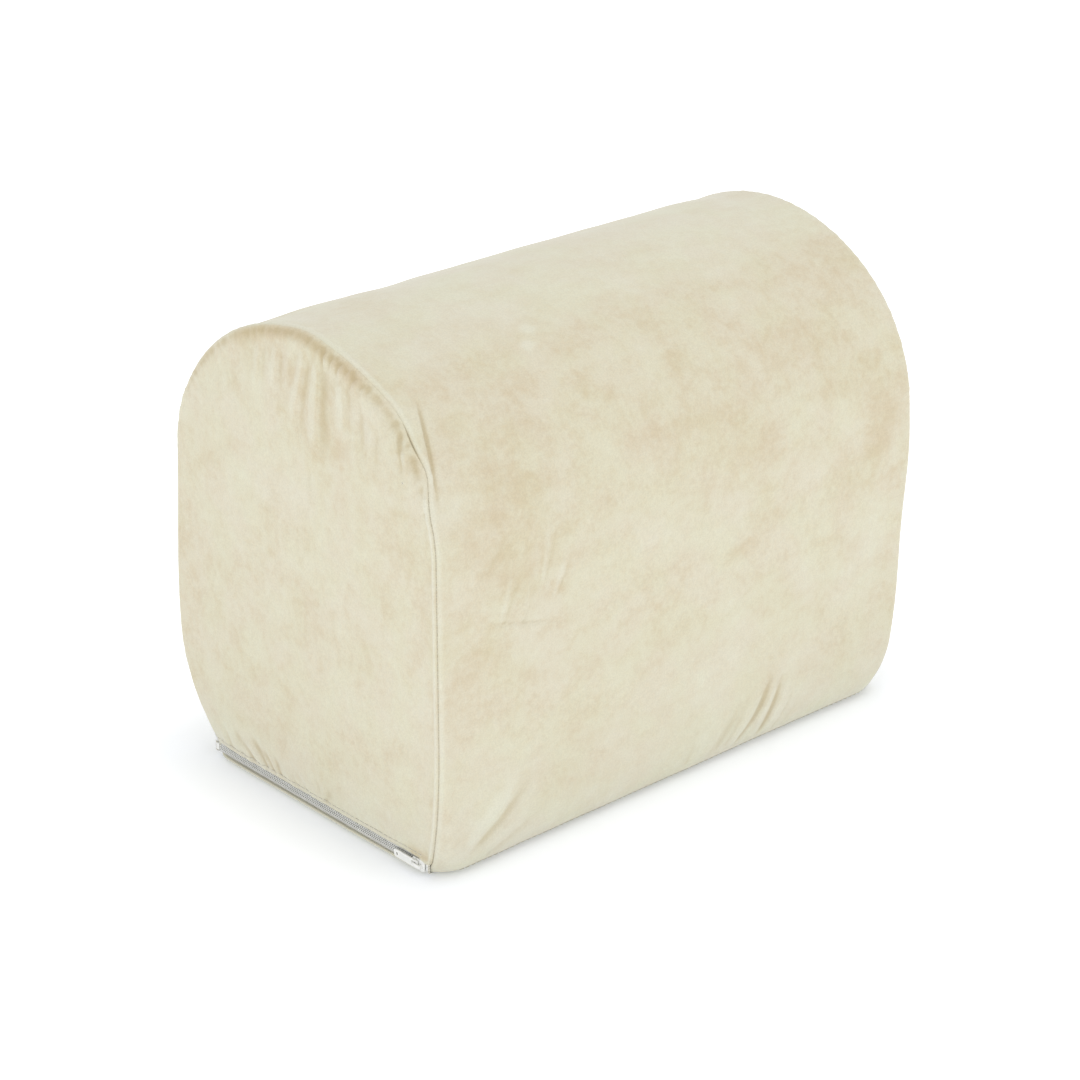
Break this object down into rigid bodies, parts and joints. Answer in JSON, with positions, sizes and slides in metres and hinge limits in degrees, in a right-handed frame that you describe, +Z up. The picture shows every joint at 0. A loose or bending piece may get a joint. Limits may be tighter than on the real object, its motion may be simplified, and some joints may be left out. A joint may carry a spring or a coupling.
{
  "type": "lumbar support cushion",
  "caption": "D-profile foam lumbar cushion with a flat base and a domed top, in a sewn velour cover that opens with a coil zip along one end's bottom edge.",
  "frame": {"origin": "middle of the flat base, on the surface the cushion stands on", "axes": "+X along the dome, away from the end with the zip; +Y across the cushion, towards its rear long side; +Z up"},
  "size_m": [0.356, 0.225, 0.284],
  "materials": {
    "velour": "short-pile velour, mottled nap",
    "foam": "open-cell polyurethane foam, matt",
    "liner": "thin knitted ticking",
    "seam_thread": "polyester sewing thread",
    "zip_thread": "polyester sewing thread",
    "zip_tape": "woven polyester tape",
    "zip_coil": "nylon monofilament, satin",
    "zip_metal": "off-white enamel over zinc alloy",
    "label": "woven satin, blank"
  },
  "bodies": {
    "cushion": {"base_panel": "velour", "end_panel_zip": "velour", "end_panel_plain": "velour", "wrap_panel": "velour", "foam_core": "foam", "inner_liner": "liner", "arch_seam_zip_end": "seam_thread", "arch_seam_plain_end": "seam_thread", "base_seam_front": "seam_thread", "base_seam_rear": "seam_thread", "base_seam_plain_end": "seam_thread", "zip_topstitch_upper": "zip_thread", "zip_topstitch_lower": "zip_thread", "zip_tape_upper": "zip_tape", "zip_tape_lower": "zip_tape", "zip_coil_upper": "zip_coil", "zip_coil_lower": "zip_coil", "zip_top_stops": "zip_metal", "zip_bottom_stop": "zip_metal", "zip_bar_tacks": "zip_thread", "care_label": "label"},
    "slider": {"zip_slider": "zip_metal"},
    "pull": {"zip_pull": "zip_metal"}
  },
  "joints": [
    {"name": "slider_run", "type": "slide", "parent": "cushion", "child": "slider", "axis": [0, 1, 0], "range_m": [0, 0.1739], "deforming": ["zip_coil_upper", "zip_coil_lower"]},
    {"name": "pull_turn", "type": "hinge", "parent": "slider", "child": "pull", "pos_m": [-0.175, -0.08755, 0.0062], "axis": [0, 0, 1], "range_deg": [0, 170]}
  ]
}
